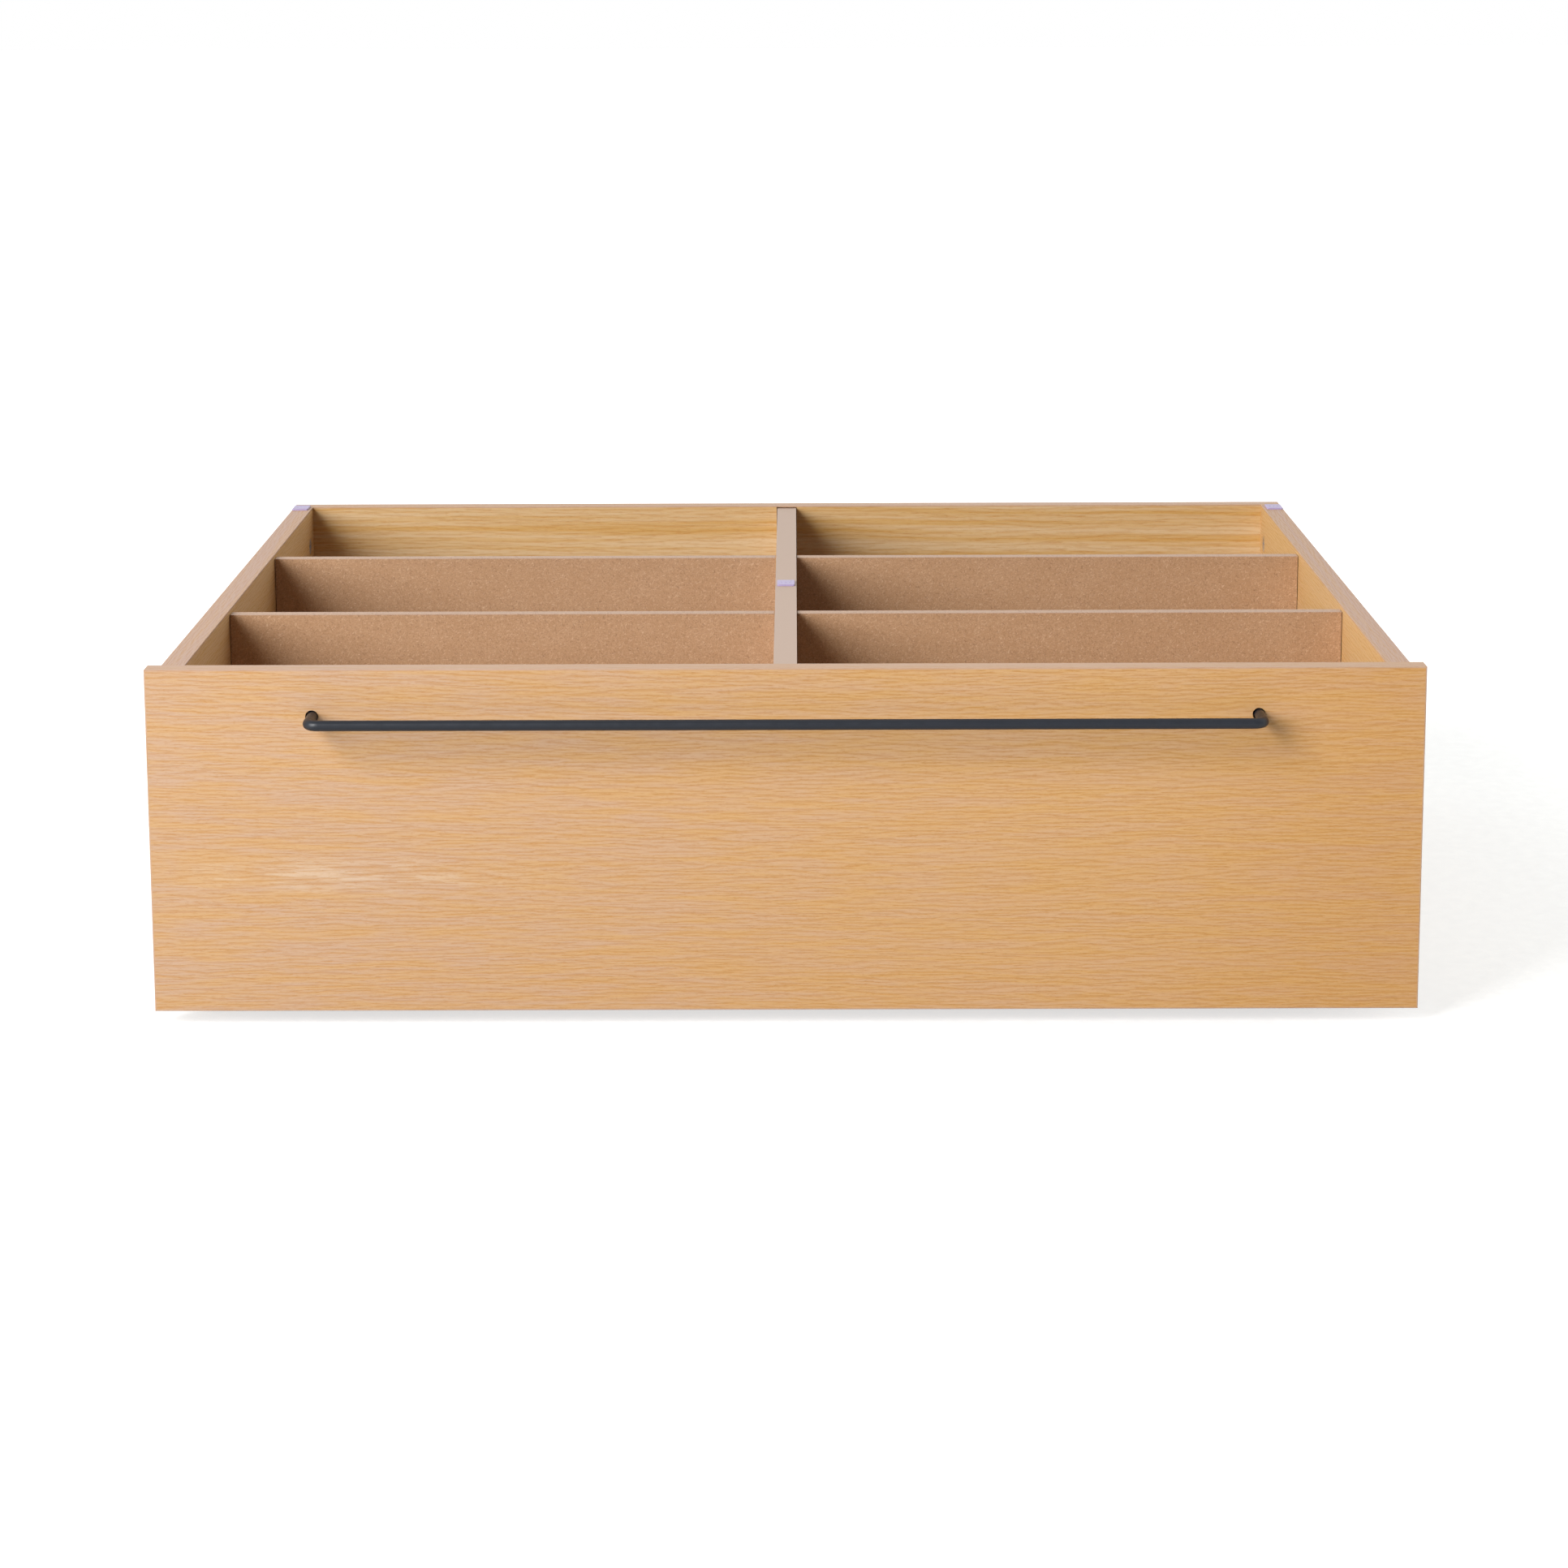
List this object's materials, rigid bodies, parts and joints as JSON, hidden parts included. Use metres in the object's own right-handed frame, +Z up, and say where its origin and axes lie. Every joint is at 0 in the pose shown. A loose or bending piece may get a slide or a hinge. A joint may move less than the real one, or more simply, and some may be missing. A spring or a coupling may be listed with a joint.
{
  "type": "divided storage drawer",
  "caption": "Rolling storage drawer for under a bed: oak-veneered front with a long bar handle, divided box, glide pads and fixed casters.",
  "frame": {"origin": "on the floor, in the middle of the drawer's width and depth", "axes": "+X to the right seen from the front, +Y from the front to the rear, +Z up"},
  "size_m": [0.96, 0.839, 0.277],
  "materials": {
    "oak_veneer": "oak veneer, clear satin lacquer, fine straight grain",
    "edge_band": "oak edge band, paler and matt",
    "plain_board": "plain beige-grey board, matt",
    "fibreboard": "raw speckled fibreboard, matt",
    "hardboard": "smooth hardboard, matt",
    "pine": "planed pine, bare",
    "beech": "fluted beech, bare",
    "black_steel": "black satin powder coat",
    "zinc_steel": "bright zinc plate",
    "caster_steel": "pressed zinc-plated sheet",
    "glide_plastic": "smooth white plastic",
    "wheel_plastic": "moulded dark grey plastic",
    "wheel_tread": "soft grey tread"
  },
  "bodies": {
    "case": {"front_panel": "oak_veneer", "rear_panel": "oak_veneer", "left_side_panel": "oak_veneer", "right_side_panel": "oak_veneer", "centre_divider": "plain_board", "front_left_cross_divider": "fibreboard", "front_right_cross_divider": "fibreboard", "rear_left_cross_divider": "fibreboard", "rear_right_cross_divider": "fibreboard", "left_bottom_panel": "hardboard", "right_bottom_panel": "hardboard", "front_caster_rail": "pine", "rear_caster_rail": "pine", "front_bottom_edge_band": "edge_band", "front_top_edge_band": "edge_band", "front_left_edge_band": "edge_band", "front_right_edge_band": "edge_band", "rear_left_edge_band": "edge_band", "rear_right_edge_band": "edge_band", "rear_top_edge_band": "edge_band", "left_side_edge_band": "edge_band", "right_side_edge_band": "edge_band", "handle_bar": "black_steel", "handle_washers": "zinc_steel", "handle_screws": "zinc_steel", "cam_locks": "zinc_steel", "cam_bolts": "zinc_steel", "panel_dowels": "beech", "divider_pegs": "beech", "through_pegs": "beech", "rail_screws": "zinc_steel", "left_glide_pad": "glide_plastic", "right_glide_pad": "glide_plastic", "centre_glide_pad": "glide_plastic", "glide_pad_pins": "zinc_steel", "caster_screws": "zinc_steel", "front_left_caster_fork": "caster_steel", "front_left_axle": "zinc_steel", "front_right_caster_fork": "caster_steel", "front_right_axle": "zinc_steel", "rear_left_caster_fork": "caster_steel", "rear_left_axle": "zinc_steel", "rear_right_caster_fork": "caster_steel", "rear_right_axle": "zinc_steel"},
    "front_left_wheel": {"front_left_wheel_centre": "wheel_plastic", "front_left_tread": "wheel_tread"},
    "front_right_wheel": {"front_right_wheel_centre": "wheel_plastic", "front_right_tread": "wheel_tread"},
    "rear_left_wheel": {"rear_left_wheel_centre": "wheel_plastic", "rear_left_tread": "wheel_tread"},
    "rear_right_wheel": {"rear_right_wheel_centre": "wheel_plastic", "rear_right_tread": "wheel_tread"}
  },
  "joints": [
    {"name": "front_left_wheel_spin", "type": "hinge", "parent": "case", "child": "front_left_wheel", "pos_m": [-0.397, -0.3165, 0.02], "axis": [1, 0, 0], "continuous": true},
    {"name": "front_right_wheel_spin", "type": "hinge", "parent": "case", "child": "front_right_wheel", "pos_m": [0.397, -0.3165, 0.02], "axis": [1, 0, 0], "continuous": true},
    {"name": "rear_left_wheel_spin", "type": "hinge", "parent": "case", "child": "rear_left_wheel", "pos_m": [-0.397, 0.3515, 0.02], "axis": [1, 0, 0], "continuous": true},
    {"name": "rear_right_wheel_spin", "type": "hinge", "parent": "case", "child": "rear_right_wheel", "pos_m": [0.397, 0.3515, 0.02], "axis": [1, 0, 0], "continuous": true}
  ]
}
